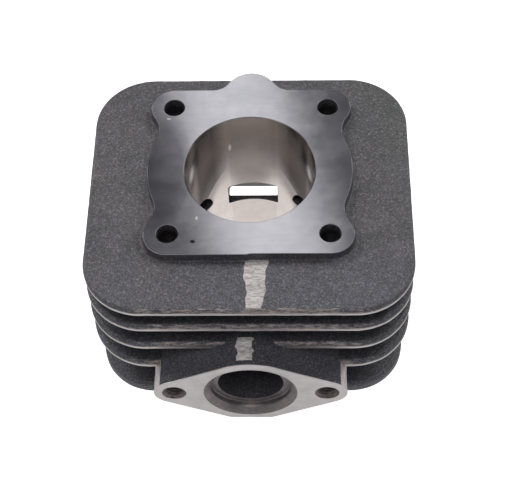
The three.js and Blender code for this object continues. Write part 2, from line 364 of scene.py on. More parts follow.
def finishMaterial(material, colour, metallic, roughness, relief):
    # hands the finished patterns to the shader
    tree = material.node_tree
    shader = tree.nodes["Principled BSDF"]
    feed(tree, shader.inputs["Base Color"], colour)
    feed(tree, shader.inputs["Metallic"], metallic)
    feed(tree, shader.inputs["Roughness"], roughness)
    feed(tree, shader.inputs["Normal"], relief)
    return material


castLook = {
    "sand": 0.54,           # sizes of the patterns, in millimetres
    "clump": 1.5,
    "drift": 7,
    "patch": 17,
    "dark": (0.034, 0.032, 0.038, 1),
    "light": (0.061, 0.057, 0.065, 1),
    "warm": (0.060, 0.048, 0.047, 1),
    "cool": (0.050, 0.050, 0.063, 1),
    "olive": (0.044, 0.046, 0.040, 1),
    "pit": (0.009, 0.008, 0.010, 1),
    "speck": (0.19, 0.185, 0.195, 1),
    "scuffed": (0.31, 0.26, 0.24, 1),
    "groundDark": (0.45, 0.41, 0.40, 1),
    "ground": (0.62, 0.58, 0.56, 1),
    "groundRoughness": 0.42,
    "coolFrom": 2,          # the cool tone comes in from here towards the exhaust side
    "coolFull": -22,
    "oliveFrom": 38,        # and the olive one towards the rear right edge
    "oliveFull": 58,
}


def makeCastSkin(name, groundName):
    # paint-dark sand-cast skin: grains and pits of the sand, slow colour drift, and bright ground
    # metal where the named attribute says that the wheel went over it
    look = castLook
    material, tree, where = startMaterial(name)
    patch = grain(tree, where, look["patch"], 3)
    drift = grain(tree, where, look["drift"], 3, 0.6)
    sand = grain(tree, where, look["sand"], 4, 0.72)
    clump = grain(tree, where, look["clump"], 3, 0.65)
    colour = blendColours(tree, stretch(tree, drift, 0.35, 0.65), look["dark"], look["light"])
    colour = blendColours(tree, stretch(tree, patch, 0.50, 0.66, 0, 0.75), colour, look["warm"])
    place = addNode(tree, "ShaderNodeSeparateXYZ", Vector=where).outputs
    front = sums(tree, "ADD", place[1], times(tree, patch, 30 * mm))
    cool = stretch(tree, front, look["coolFrom"] * mm, look["coolFull"] * mm, 0, 0.8)
    colour = blendColours(tree, cool, colour, look["cool"])
    corner = sums(tree, "ADD", place[0], times(tree, place[1], 0.5))
    olive = stretch(tree, corner, look["oliveFrom"] * mm, look["oliveFull"] * mm, 0, 0.7)
    colour = blendColours(tree, olive, colour, look["olive"])
    colour = blendColours(tree, stretch(tree, sand, 0.50, 0.36, 0, 0.85), colour, look["pit"])
    colour = blendColours(tree, stretch(tree, clump, 0.56, 0.40, 0, 0.30), colour, look["pit"])
    colour = blendColours(tree, stretch(tree, sand, 0.54, 0.72, 0, 0.95), colour, look["speck"])
    rough = stretch(tree, sand, 0.3, 0.7, 0.62, 0.46)
    relief = bump(tree, sand, 0.8, 0.20, bump(tree, clump, 0.6, 0.22))
    # ground metal, with a torn edge and streaks along the rim
    ground = addNode(tree, "ShaderNodeAttribute", {"attribute_name": groundName}).outputs["Fac"]
    tear = grain(tree, scaled(tree, where, (0.22, 1.0, 1.0)), 0.7, 3, 0.7)
    ragged = sums(tree, "ADD", ground, stretch(tree, tear, 0.3, 0.7, -0.26, 0.26))
    bare = stretch(tree, ragged, 0.38, 0.62)
    streak = grain(tree, scaled(tree, where, (0.25, 0.25, 2.0)), 0.8, 3, 0.6)
    metal = blendColours(tree, stretch(tree, streak, 0.35, 0.7), look["groundDark"], look["ground"])
    metal = blendColours(tree, stretch(tree, ground, 0.55, 0.95), look["scuffed"], metal)
    colour = blendColours(tree, bare, colour, metal)
    rest = sums(tree, "SUBTRACT", 1.0, bare)
    rough = sums(tree, "ADD", times(tree, rough, rest), times(tree, bare, look["groundRoughness"]))
    return finishMaterial(material, colour, times(tree, bare, 0.85), rough, relief)


headLook = {
    "dark": (0.43, 0.425, 0.46, 1),
    "light": (0.56, 0.55, 0.575, 1),
    "mark": (0.38, 0.38, 0.41, 1),
    # painted shade: colour of a broad darker patch on the left of the head face, with its place and
    # half sizes
    "blotch": (0.19, 0.18, 0.21, 1),
    "shadePlace": (-27.0, 0),
    "shadeSize": (8.5, 20),
    # small marks of handling: place, half sizes and colour
    "nicks": [
        ((-16.4, -26.9), (0.75, 0.55), (0.05, 0.05, 0.055, 1)),
        ((-25.6, 19.5), (0.65, 0.3), (0.95, 0.95, 0.97, 1)),
        ((-15.5, -18.5), (0.4, 0.7), (0.95, 0.95, 0.97, 1)),
    ],
}


def makeHeadFace(name):
    # face cut by a milling cutter and wiped: fine straight tool marks, faint blotches of tone, small
    # nicks, and painted shade in a broad darker patch on the left
    look = headLook
    material, tree, where = startMaterial(name)
    marks = grain(tree, scaled(tree, where, (0.04, 1.0, 1.0)), 0.35, 3, 0.6)
    blotch = grain(tree, where, 9, 4, 0.6)
    colour = blendColours(tree, stretch(tree, blotch, 0.35, 0.7), look["dark"], look["light"])
    colour = blendColours(tree, stretch(tree, marks, 0.3, 0.75, 0, 0.3), colour, look["mark"])
    x, y = fromBoreAxis(tree, where)[:2]
    # painted shade: the broad darker patch on the left of the head face
    shade = times(tree, spot(tree, x, y, look["shadePlace"], look["shadeSize"]), 0.55)
    colour = blendColours(tree, shade, colour, look["blotch"])
    for centre, size, tint in look["nicks"]:
        colour = blendColours(tree, spot(tree, x, y, centre, size), colour, tint)
    rough = stretch(tree, blotch, 0.3, 0.7, 0.11, 0.14)
    return finishMaterial(material, colour, 1.0, rough, bump(tree, marks, 0.06, 0.01))


flangeLook = {
    "dark": (0.50, 0.47, 0.46, 1),
    "light": (0.60, 0.565, 0.555, 1),
    "mark": (0.42, 0.39, 0.38, 1),
}


def makeFlangeFace(name):
    # faced iron of the exhaust flange and the spigot, paler and warmer than the head face
    look = flangeLook
    material, tree, where = startMaterial(name)
    marks = grain(tree, scaled(tree, where, (0.06, 1.0, 1.0)), 0.5, 3, 0.6)
    blotch = grain(tree, where, 6, 4, 0.6)
    colour = blendColours(tree, stretch(tree, blotch, 0.35, 0.7), look["dark"], look["light"])
    colour = blendColours(tree, stretch(tree, marks, 0.3, 0.75, 0, 0.35), colour, look["mark"])
    rough = stretch(tree, marks, 0.3, 0.7, 0.34, 0.46)
    return finishMaterial(material, colour, 0.9, rough, bump(tree, marks, 0.25, 0.03))


boreLook = {
    "dark": (0.45, 0.41, 0.395, 1),
    "light": (0.54, 0.49, 0.47, 1),
    "scratch": (0.58, 0.55, 0.53, 1),
    "slope": 0.6,           # the honing stones' climb for each millimetre round the bore
    # painted shade: the darker colour laid over the bore's flanks and over the rear window
    "paintedShade": (0.11, 0.095, 0.09, 1),
    "peak": 13.5,           # depth below the head face that the edge of the painted shade would reach at the rear
    "fall": 24.0,           # millimetres it falls for each radian round the bore
    "flank": (24, 38),      # degrees from the rear over which the painted shade comes in
    "flankEnd": (64, 58),   # and over which it ends
    "column": (22.5, 21.5), # edge of the faint painted shade over the rear window
    # painted highlight on the bore's rear wall: its colour, place and half sizes
    "glint": (0.97, 0.96, 0.95, 1),
    "glintPlace": (-7.1, headZ - 13.5),
    "glintSize": (0.45, 1.7),
}


def makeHonedBore(name):
    # honed cylinder wall: crossed fine scratches wound round the bore, and painted shade, darker
    # colour whose lower edge slants down on both sides of the rear window
    look = boreLook
    material, tree, where = startMaterial(name)
    x, y, z = fromBoreAxis(tree, where)
    turn = times(tree, sums(tree, "ARCTAN2", y, x), bore["radius"] * mm)
    scratch = 0.0
    for slope in (look["slope"], -look["slope"]):
        across = sums(tree, "ADD", z, times(tree, turn, slope))
        along = times(tree, sums(tree, "SUBTRACT", turn, times(tree, z, slope)), 0.03)
        place = addNode(tree, "ShaderNodeCombineXYZ", X=across, Y=along)
        scratch = sums(tree, "MAXIMUM", scratch, grain(tree, place.outputs[0], 0.22, 2, 0.6))
    blotch = grain(tree, where, 8, 4, 0.6)
    colour = blendColours(tree, stretch(tree, blotch, 0.3, 0.7), look["dark"], look["light"])
    colour = blendColours(tree, stretch(tree, scratch, 0.45, 0.75, 0, 0.25), colour, look["scratch"])
    aside = sums(tree, "ARCTAN2", sums(tree, "ABSOLUTE", x), y)
    shadeEdge = sums(tree, "ADD", z, times(tree, aside, look["fall"] * mm))
    shadeEdgeStart = (headZ - look["peak"]) * mm
    above = stretch(tree, shadeEdge, shadeEdgeStart, shadeEdgeStart + 1.2 * mm)
    flank = np.radians(look["flank"]).tolist()
    flankEnd = np.radians(look["flankEnd"]).tolist()
    column = np.radians(look["column"]).tolist()
    # painted shade: the flanks darkened above a line that slants down away from the rear
    shadeShare = times(tree, above, stretch(tree, aside, *flank), stretch(tree, aside, *flankEnd), 0.78)
    colour = blendColours(tree, shadeShare, colour, look["paintedShade"])
    # painted shade: a faint darker column over the rear window
    colour = blendColours(tree, stretch(tree, aside, *column, 0, 0.12), colour, look["paintedShade"])
    # painted highlight: a small pale spot on the rear wall of the bore
    glint = spot(tree, x, z, look["glintPlace"], look["glintSize"])
    glint = times(tree, glint, stretch(tree, y, 0, mm))
    colour = blendColours(tree, glint, colour, look["glint"])
    rough = stretch(tree, scratch, 0.4, 0.7, 0.15, 0.22)
    return finishMaterial(material, colour, 1.0, rough, bump(tree, scratch, 0.18, 0.01))


def makeThreadMetal(name, dark, light):
    # oily cut thread and drilled wall
    material, tree, where = startMaterial(name)
    blotch = grain(tree, where, 1.2, 3, 0.6)
    colour = blendColours(tree, stretch(tree, blotch, 0.35, 0.7), dark, light)
    rough = stretch(tree, blotch, 0.3, 0.7, 0.38, 0.6)
    relief = bump(tree, grain(tree, where, 0.4, 2), 0.2, 0.04)
    return finishMaterial(material, colour, 0.6, rough, relief)


def makeSeatMetal(name, dark, light, ring):
    # turned cone and counterbore of the exhaust mouth, dull and painted dark: painted shade inside the
    # mouth
    material, tree, where = startMaterial(name)
    rings = grain(tree, scaled(tree, where, (0.15, 1.0, 0.15)), 0.25, 2, 0.5)
    blotch = grain(tree, where, 3.5, 3, 0.6)
    colour = blendColours(tree, stretch(tree, blotch, 0.35, 0.7), dark, light)
    colour = blendColours(tree, stretch(tree, rings, 0.35, 0.7, 0, 0.3), colour, ring)
    rough = stretch(tree, rings, 0.3, 0.7, 0.36, 0.5)
    return finishMaterial(material, colour, 0.8, rough, bump(tree, rings, 0.25, 0.03))


def makeGroundIron(name, dark, light, soot=(0.09, 0.08, 0.08, 1)):
    # flash ground off by hand: bright short scratches across, over a bare iron grey
    material, tree, where = startMaterial(name)
    marks = grain(tree, scaled(tree, where, (0.22, 1.0, 1.0)), 0.5, 4, 0.7)
    blotch = grain(tree, where, 1.6, 3, 0.65)
    colour = blendColours(tree, stretch(tree, marks, 0.35, 0.65), dark, light)
    colour = blendColours(tree, stretch(tree, blotch, 0.42, 0.30, 0, 0.7), colour, soot)
    rough = stretch(tree, marks, 0.3, 0.7, 0.42, 0.6)
    return finishMaterial(material, colour, 0.35, rough, bump(tree, marks, 0.5, 0.06))


castSkin = makeCastSkin("cast_skin", "ground")
# painted shade: the seat's colours are kept dark for the shade inside the exhaust mouth
seatMetal = makeSeatMetal("turned_seat", (0.155, 0.135, 0.135, 1), (0.25, 0.225, 0.225, 1),
                          (0.10, 0.085, 0.085, 1))
groundTop = makeGroundIron("ground_top", (0.20, 0.18, 0.17, 1), (0.52, 0.485, 0.475, 1))
groundBoss = makeGroundIron("ground_boss", (0.36, 0.33, 0.32, 1), (0.86, 0.81, 0.80, 1))
headFace = makeHeadFace("milled_head_face")
flangeFace = makeFlangeFace("turned_flange_face")
honedBore = makeHonedBore("honed_bore")
threadMetal = makeThreadMetal("cut_thread", (0.07, 0.055, 0.05, 1), (0.20, 0.17, 0.155, 1))
print("materials made")


# what is cut out of the casting: each cutter is a closed shell, thrown away at the end
passages = {
    "past": 2.0,            # how far a cutter stands out of the face it starts from
    "bevel": 0.15,          # broken edge of a window in the bore
    "transferRoof": headZ - 32.7,
    "transferFloor": headZ - 39.2,
    "start": 42.0,          # degrees round the bore from the rear
    "end": 104.0,
    "skin": 22.4,           # inner radius of a transfer passage
    "outer": 28.6,
    "outerCorner": 1.9,
    "pinchOuter": 26.6,     # outer radius where it goes by a stud
    "pinchCorner": 3.2,
    "pinchEnd": 62.0,
    "windowStart": 44.5,    # at half height
    "windowCorner": 2.6,
    "windowLean": 0.5,
    "coreShift": 0.9,       # the right core sat this much higher
    "coreTurn": 2.7,        # and this many degrees nearer the rear
    "boostRoof": headZ - 34.1,
    "boostFloor": headZ - 43.0,
    "boostHalf": 8.15,
    "boostShift": -0.2,
    "boostBack": 9.0,       # half width of the passage behind the window
    "boostSkin": 21.35,     # flat front wall of that passage
    "boostReach": 32.8,     # radius of its rear wall at the base face
    "boostCorner": 1.2,
    "corner": 0.45,         # of the boost window
}


def studCutter(sideX, sideY):
    # straight drilled hole with a broken edge at the head face
    r, c = studs["hole"], studs["edgeBreak"]
    past = passages["past"]
    profile = [(r, baseZ - past), (r, headZ - c), (r + c, headZ), (r + c, headZ + past)]
    grid = tube(profile, studs["around"], sideX * studs["offset"], sideY * studs["offset"])
    return solidPiece("studCutter", [shell(grid, capEnds=True)])


def roundedLoop(halfWidth, halfHeight, radius, steps=7):
    # rectangle with rounded corners about zero, counter-clockwise
    x, y = halfWidth - radius, halfHeight - radius
    return np.vstack([
        arc(x, -y, radius, -90, 0, steps), arc(x, y, radius, 0, 90, steps),
        arc(-x, y, radius, 90, 180, steps), arc(-x, -y, radius, 180, 270, steps),
    ])


def sectorCutter(inner, outer, start, end, low, high, corner, flare=0.0, lean=0.0):
    # part of a ring: a rounded (angle, height) window carried outwards from one radius to another,
    # opened a little where it comes through the bore's surface; lean slants its two ends
    middle, half = math.radians((start + end) / 2), math.radians((end - start) / 2)
    mean = (inner + outer) / 2
    loop = evenly(roundedLoop(half * mean, (high - low) / 2, corner, 12), 144)
    loop[:, 0] += lean * loop[:, 1]
    if flare:
        reach = np.array([inner, bore["radius"], bore["radius"] + flare, outer])
        grow = np.array([flare, flare, 0, 0])
    else:
        reach = np.linspace(inner, outer, 4)
        grow = np.zeros(4)
    away = outward(loop)
    across = loop[None, :, 0] + away[None, :, 0] * grow[:, None]
    angle = math.pi / 2 - (middle + across / mean)
    height = (low + high) / 2 + loop[None, :, 1] + away[None, :, 1] * grow[:, None]
    r = reach[:, None]
    return np.stack([r * np.cos(angle), r * np.sin(angle), height], axis=-1)


def transferCutters(side):
    # the window through the skin, and the passage behind it that opens at the base
    p = passages
    low = baseZ - p["past"]
    roof = p["transferRoof"]
    shift = p["coreShift"] if side > 0 else 0
    turn = p["coreTurn"] if side > 0 else 0
    window = sectorCutter(
        bore["radius"] - 3, p["skin"] + 0.4, p["windowStart"] - turn, p["end"],
        p["transferFloor"] + shift, roof + shift, p["windowCorner"], p["bevel"], p["windowLean"],
    )
    pinch = sectorCutter(p["skin"], p["pinchOuter"], p["start"], p["end"], low, roof, p["pinchCorner"])
    # a hair further in and higher, so that no two faces of the cutters coincide
    wide = sectorCutter(
        p["skin"] + 0.01, p["outer"], p["pinchEnd"], p["end"], low, roof + 0.01, p["outerCorner"]
    )
    made = []
    for grid in (window, pinch, wide):
        turned = grid * [side, 1, 1]
        made.append(solidPiece("transferCutter", [shell(turned, capEnds=True)]))
    return made


def boostCutters():
    # a squared window in the rear wall, bevelled where it meets the bore, and behind it a wider
    # passage: at each height a rectangle with two round corners, whose rear wall goes back in
    # proportion to its depth plus half a sine
    p = passages
    half = p["boostHalf"]
    high = (p["boostRoof"] - p["boostFloor"]) / 2
    loop = evenly(roundedLoop(half, high, p["corner"]), 160)
    away = outward(loop)
    r, bevel = bore["radius"], p["bevel"]
    reach = np.array([r - 4, r, r + bevel, p["boostSkin"] + 2.2])[:, None]
    grow = np.array([bevel, bevel, 0, 0])[:, None]
    x = loop[:, 0] + away[:, 0] * grow + p["boostShift"]
    z = loop[:, 1] + away[:, 1] * grow + p["boostFloor"] + high
    y = np.sqrt(reach ** 2 - x ** 2)
    window = solidPiece("boostWindow", [shell(np.stack([x, y, z], axis=-1), capEnds=True)])
    low = baseZ - p["past"]
    slope = (p["boostReach"] - r) / (p["boostRoof"] - baseZ)
    start = p["boostSkin"]
    share = np.linspace(0, 1, 12)
    z = p["boostRoof"] + (low - p["boostRoof"]) * share
    y = r + (p["boostRoof"] - z) * slope + 0.5 * np.sin(share * math.pi)
    rear = np.maximum(y, start + 0.4)
    grid = []
    for level, back in zip(z.tolist(), rear.tolist()):
        corner = min(p["boostCorner"], (back - start) * 0.45)
        side = np.vstack([
            arc(p["boostBack"] - corner, back - corner, corner, 0, 90, 8),
            arc(corner - p["boostBack"], back - corner, corner, 90, 180, 8),
            np.array([(-p["boostBack"], start), (p["boostBack"], start)]),
        ])
        grid.append(np.column_stack([side, np.full(len(side), level)]))
    passage = solidPiece("boostPassage", [shell(np.array(grid), capEnds=True)])
    return [window, passage]


exhaust = {
    "faceY": -57.0,
    "centreZ": headZ - 37.4,
    "hub": 17.2,            # radii of the diamond's middle and ends
    "ear": 6.2,
    "earOffset": 23.2,
    "outlet": 10.0,
    "seat": 12.1,
    "seatDepth": 3.4,
    "mouth": 14.2,          # radius of the cone at the face
    "mouthDepth": 1.7,
    "windowHalf": 12.0,
    "windowRoof": headZ - 28.4,
    "windowPower": 0.6,     # squareness of the outline at the bore, 1 being an ellipse
    "threadMinor": 2.5,
    "threadMajor": 2.95,
    "pitch": 1.0,
    "threadDepth": 14.0,
    "countersink": 3.7,
    "sinkDepth": 0.75,
    "drillPoint": 1.4,
    "clearance": 2.5,       # from the bore to the back of the boss
    "bossEnd": 34.5,        # depth of the boss behind the flange face
}


def ductCutter():
    # loft from a squared-off oval at the bore to a circle at the gasket seat: half sizes, height
    # and the outline's power all ease from one end to the other, and each outline is the cosine
    # and the sine of the angle raised to that power
    e = exhaust
    rows, around = 22, 96
    share = np.linspace(0, 1, rows)[:, None]
    ease = share * share * (3 - 2 * share)
    high = (e["windowRoof"] - bore["portFloor"]) / 2
    middle = (e["windowRoof"] + bore["portFloor"]) / 2
    wide = e["windowHalf"] + (e["outlet"] - e["windowHalf"]) * ease
    tall = high + (e["outlet"] - high) * ease
    z = middle + (e["centreZ"] - middle) * ease
    power = e["windowPower"] + (1 - e["windowPower"]) * ease
    a = np.linspace(0, 2 * math.pi, around, endpoint=False) + 0.01
    c, s = np.cos(a), np.sin(a)
    end = -e["faceY"] - e["seatDepth"] + 0.2
    start = bore["radius"] - 5
    grid = np.stack([
        np.sign(c) * np.abs(c) ** power * wide,
        np.broadcast_to(-(start + (end - start) * share), (rows, around)),
        np.sign(s) * np.abs(s) ** power * tall + z,
    ], axis=-1)
    return solidPiece("ductCutter", [shell(grid, capEnds=True)])


def mouthCutter():
    # turned cone and counterbore for the exhaust gasket, by (radius, depth below the face)
    e = exhaust
    profile = [(e["mouth"], -2), (e["mouth"], 0), (e["mouth"] - 0.15, 0.08),
               (e["seat"] + 0.12, e["mouthDepth"] - 0.1), (e["seat"], e["mouthDepth"] + 0.1),
               (e["seat"], e["seatDepth"] - 0.25), (e["seat"] - 0.25, e["seatDepth"])]
    grid = tube([(r, -e["faceY"] - d) for r, d in profile], 160)
    return solidPiece("mouthCutter", [shell(towardsFront(grid, 0, e["centreZ"]), capEnds=True)])


def threadCutter(side):
    # M6 thread: the radius is a triangle wave of the depth, advanced by one pitch for each turn,
    # ending in a drill point, with a countersink at the face
    e = exhaust
    around = 48
    perTurn = 8
    face = -e["faceY"]
    end = face - e["threadDepth"]
    a = np.linspace(0, 2 * math.pi, around, endpoint=False)
    depth = np.arange(0.9, e["threadDepth"] - 2.0, e["pitch"] / perTurn)
    phase = depth[:, None] / e["pitch"] + a / (2 * math.pi)
    wave = np.abs((phase % 1.0) * 2 - 1)
    radius = e["threadMinor"] + (e["threadMajor"] - e["threadMinor"]) * wave
    grid = np.empty((len(depth), around, 3))
    grid[:, :, 0] = radius * np.cos(a)
    grid[:, :, 1] = radius * np.sin(a)
    grid[:, :, 2] = face - depth[:, None]
    sink = tube([(e["countersink"], face + 2), (e["countersink"], face),
                 (e["threadMajor"], face - e["sinkDepth"])], around)
    foot = tube([(e["threadMinor"], end + 1.6), (e["threadMinor"], end),
                 (0.15, end - e["drillPoint"])], around)
    whole = towardsFront(np.concatenate([sink, grid, foot]), side * e["earOffset"], e["centreZ"])
    return solidPiece("threadCutter", [shell(whole, capEnds=True)])


def bossHollow():
    # the bore's own space, so that the exhaust boss never reaches into it
    r = bore["radius"] + exhaust["clearance"]
    grid = tube([(r, baseZ - 5), (r, headZ)], 96)
    return solidPiece("boreCutter", [shell(grid, capEnds=True)])


studCutters = [studCutter(x, y) for x in (-1, 1) for y in (-1, 1)]
passageCutters = transferCutters(1) + transferCutters(-1) + boostCutters()
duct = ductCutter()
mouth = mouthCutter()
threads = [threadCutter(-1), threadCutter(1)]
boreSpace = bossHollow()
bpy.context.view_layer.update()
print("cutters made")


deck = {
    "lobe": 7.15,           # radius round each stud
    "side": 31.2,           # radius of the bulges beside the bore
    "waist": 9.0,           # radius of the hollow between a bulge and a lobe
    "rearLobe": 8.0,
    "rearReach": 38.3,
    "rearFillet": 6.0,
    "steps": 640,
    "edge": 0.12,
    "draft": 0.25,          # the foot stands out from the machined edge
    "footFillet": 0.7,
    "footSpread": 0.6,      # width of that fillet for its height
    "mismatch": 0.3,        # the left half of the mould sat this far forward
}


def deckOutline():
    # stud lobes, waist fillets and side bulges as touching arcs, mirrored front to rear and
    # across. Two arcs touch where the line through their centres meets them, so each fillet's
    # centre is the corner of a triangle whose sides are sums of radii
    d, s = deck, studs["offset"]
    a = d["side"] + d["waist"]
    b = d["lobe"] + d["waist"]
    far = math.hypot(s, s)
    along = (far * far + a * a - b * b) / (2 * far)
    off = math.sqrt(a * a - along * along)
    unit = np.array([s, -s]) / far
    fillet = unit * along + np.array([-unit[1], unit[0]]) * off
    lobeEnd = math.degrees(math.atan2(fillet[1] + s, fillet[0] - s))
    bulge = math.degrees(math.atan2(fillet[1], fillet[0]))
    front = np.vstack([
        arc(s, -s, d["lobe"], -90, lobeEnd),
        arc(fillet[0], fillet[1], d["waist"], lobeEnd + 180, bulge + 180),
        arc(0, 0, d["side"], bulge, 0),
    ])
    rear = front[::-1] * [1, -1]
    y = s + d["lobe"] + d["rearFillet"]
    lobeY = d["rearReach"] - d["rearLobe"]
    x = math.sqrt((d["rearLobe"] + d["rearFillet"]) ** 2 - (y - lobeY) ** 2)
    start = math.degrees(math.atan2(y - lobeY, x))
    half = np.vstack([
        front, rear,
        arc(x, y, d["rearFillet"], -90, start - 180),
        arc(0, lobeY, d["rearLobe"], start, 90),
    ])
    return mirrored(half)


def makeDeck():
    # the outline carried round a profile: underside, drafted cast edge, milled top, bore wall.
    # Left of the middle the front edge steps forward by the mismatch
    d = deck
    outline = evenly(deckOutline(), d["steps"])
    ahead = np.clip(0.5 - outline[:, 0] / 0.7, 0, 1) * (outline[:, 1] < -d["side"] + 3)
    outline[:, 1] -= d["mismatch"] * ahead
    edge, fillet = d["edge"], d["footFillet"]
    r, c = bore["radius"], bore["edgeBreak"]
    rows = [(0.2, 0.0, deckFootZ)]
    for t in np.radians(np.linspace(0, 80, 7)):
        out = d["draft"] + fillet * d["footSpread"] * (1 - math.sin(t))
        rows.append((-out, 0.0, deckFootZ + fillet * (1 - math.cos(t))))
    rows += [(-d["draft"] * 0.6, 0.0, deckFootZ + 1.5), (0.0, 0.0, headZ - edge), (edge, 0.0, headZ)]
    rows += [(0.4, b, headZ) for b in np.linspace(0.02, 0.98, 6)]
    top = plateGrid(outline, rows, r + c)
    wall = plateGrid(outline, [(0, 1, headZ)], r + c)
    down = plateGrid(outline, [(0, 1, headZ - c), (0, 1, deckFootZ)], r)
    grid = np.concatenate([top, wall, down])
    grid[..., 1] = np.minimum(grid[..., 1], deckHigh[1] - axisY)
    piece = solidPiece("head_face_deck", [shell(grid, closeRows=True)])
    carve(piece, studCutters)

    def choose(centre, facing):
        top = facing[:, 2] > 0.6
        top &= centre[:, 2] > headZ - 0.3
        wall = np.abs(np.hypot(centre[:, 0], centre[:, 1]) - r) < 0.3
        return np.where(wall, 2, np.where(top, 1, 0))

    paint(piece, "ground", np.zeros(len(piece.data.vertices)))
    return finishPiece(piece, ["head_deck"], [castSkin, headFace, honedBore], choose)


makeDeck()


fins = {
    "halfWidth": finHigh[0],
    "front": finLow[1] - axisY,
    "back": finHigh[1] - axisY,
    "corner": 18.0,
    "steps": 560,
    "inner": 21.0,          # radius inside the barrel's wall where a fin ends
    "crown": 1.25,          # radius of the upper edge
    "land": 1.15,           # height of the ground strip low on the rim
    "sink": 0.35,           # how much a fin thickens towards its root, each side
    "swell": 0.07,          # unevenness of the sand mould
    "coarse": 7.0,          # and the wavelengths of it
    "fine": 2.7,
    "scuff": 0.20,          # wear of the rest of the rim
    "frontScuff": 0.27,     # and what is added to it in front
}


def finOutline(inset):
    # rectangle with round corners, brought in all round
    f = fins
    r = f["corner"] - inset
    x = f["halfWidth"] - f["corner"]
    right = np.vstack([
        arc(x, f["front"] + f["corner"], r, -90, 0, 60),
        arc(x, f["back"] - f["corner"], r, 0, 90, 60),
    ])
    return evenly(mirrored(right), f["steps"])


def finGrid(low, high, topSink, underSink):
    # flat top, round upper edge, short upright land, flat underside, closing inside the barrel.
    # The rim is drawn in along its normals by the swell of the mould
    f = fins
    outline = finOutline(0.0)
    crown = f["crown"]
    inward = np.linspace(0, 1, 22)
    under = [(0.6, b, low - underSink * b) for b in inward[:0:-1]] + [(1.8, 0, low)]
    rim = [(0.32, 0, low), (0.12, 0, low + 0.05), (0.03, 0, low + 0.16), (0.0, 0, low + 0.3),
           (0.0, 0, low + 0.75), (0.0, 0, high - crown)]
    rim += quarter(0.0, high - crown, crown, 12, 90, 9)
    over = [(1.6, b, high + topSink * b) for b in inward]
    rows = under + rim + over
    grid = plateGrid(outline, rows, f["inner"])
    normal = outward(outline)
    wave = lumps(grid, f["coarse"]) * 0.6 + lumps(grid, f["fine"]) * 0.4
    count = len(under)
    sides = slice(count, count + len(rim))
    pull = f["swell"] * (1 + wave[sides]) * 0.9
    grid[sides, :, 0] -= normal[None, :, 0] * pull
    grid[sides, :, 1] -= normal[None, :, 1] * pull
    return grid, wave, count, len(rim)


def makeFin(name, nodes, level, topSink, underSink, cutters):
    # the fin's grid with its top and underside swollen too, and wear painted on the rim: full on
    # the ground strip, faint above it and stronger in the middle of the front
    low, high = level
    grid, wave, under, rim = finGrid(low, high, topSink, underSink)
    grid[:under, :, 2] += fins["swell"] * wave[:under]
    grid[under + rim:, :, 2] += fins["swell"] * (wave[under + rim:] - 1.0)
    piece = solidPiece(name, [shell(grid, closeRows=True)])
    carve(piece, cutters)
    place = vertexPlaces(piece)
    rise = place[:, 2] - low
    land = (rise > 0.1) & (rise < fins["land"] + 0.3)
    front = np.clip((-place[:, 1] - 40) / 8, 0, 1) * np.clip((42 - np.abs(place[:, 0])) / 14, 0, 1)
    scuffed = fins["scuff"] + fins["frontScuff"] * front
    worn = np.where(land, 1.0, np.where(rise > 0.2, scuffed, 0.0))
    paint(piece, "ground", worn * (nearRim(place) < 0.9))
    return finishPiece(piece, nodes, [castSkin])


def nearRim(place):
    # distance in from the fin's outline: the usual distance to a rectangle with round corners
    f = fins
    middle = (f["front"] + f["back"]) / 2
    qx = np.abs(place[:, 0]) - (f["halfWidth"] - f["corner"])
    qy = np.abs(place[:, 1] - middle) - ((f["back"] - f["front"]) / 2 - f["corner"])
    outside = np.hypot(np.maximum(qx, 0), np.maximum(qy, 0))
    return f["corner"] - (outside + np.minimum(np.maximum(qx, qy), 0))


sink = fins["sink"]
makeFin("fin_plate_1", ["top_fin"], finLevels[0], 0.0, sink, studCutters)
makeFin("fin_plate_2", ["fin_2"], finLevels[1], sink, sink, studCutters)
makeFin("fin_plate_3", ["fin_3_right", "fin_3_left"], finLevels[2], sink, sink, studCutters)
makeFin("fin_plate_4", ["fin_4_right", "fin_4_left"], finLevels[3], sink, sink,
        studCutters + passageCutters + [duct])


body = {
    "barrel": 26.0,         # radius of the wall above the third fin
    "belt": 31.2,           # and of the thick wall below it, round the passages
    "column": 6.5,
    "columnFall": 9.0,      # steepness of a column's flank
    "rib": 8.0,
    "ribCentre": 30.3,
    "ribFall": 5.0,
    "bridge": 3.0,          # width of the blend between wall and columns
    "around": 720,
    "fillet": 1.6,          # under and over each fin
    "rearSeam": 0.15,       # how far the rib stays inside the deck
    "coarse": (6.0, 0.10),  # wavelength and height of the mould's unevenness
    "fine": (2.3, 0.04),
}


def roundedMost(a, b, width):
    # smooth larger of two radii: where they come within the width, a parabola bridges them
    near = np.maximum(width - np.abs(a - b), 0) / width
    return np.maximum(a, b) + near * near * width / 4


def lobeReach(angle, centreRadius, centreAngle, radius, soft):
    # how far a ray from the axis gets through a round column standing off it, falling back
    # steeply where the ray misses it
    off = np.abs((angle - centreAngle + math.pi) % (2 * math.pi) - math.pi)
    half = math.asin(radius / centreRadius)
    inside = np.sqrt(np.maximum(radius ** 2 - (centreRadius * np.sin(off)) ** 2, 0))
    reach = centreRadius * np.cos(np.minimum(off, half)) + inside
    return reach - np.maximum(off - half, 0) * centreRadius * soft


